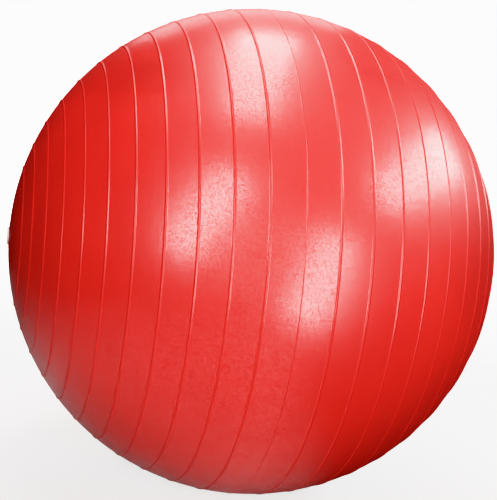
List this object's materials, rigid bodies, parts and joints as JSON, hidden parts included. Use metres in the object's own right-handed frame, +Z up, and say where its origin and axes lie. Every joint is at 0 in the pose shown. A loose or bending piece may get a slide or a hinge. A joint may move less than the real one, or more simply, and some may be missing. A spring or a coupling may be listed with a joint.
{
  "type": "exercise ball",
  "caption": "Large inflatable exercise ball with raised rib rings round its valve axis and a push-in plug that pulls out of a soft valve insert.",
  "frame": {"origin": "on the floor, under the middle of the ball", "axes": "+Z up; the valve axis lies along X, with the valve at the -X pole, and the rib rings run round X"},
  "size_m": [0.5517, 0.5534, 0.5512],
  "materials": {
    "ball_skin": "satin with a fine moulded grain",
    "valve_rubber": "satin",
    "plug_plastic": "smooth moulded"
  },
  "bodies": {
    "ball": {"ball_shell": "ball_skin", "valve_insert": "valve_rubber"},
    "plug": {"valve_plug": "plug_plastic"}
  },
  "joints": [
    {"name": "plug_pull", "type": "slide", "parent": "ball", "child": "plug", "axis": [-1, 0, 0], "range_m": [0, 0.045]}
  ]
}
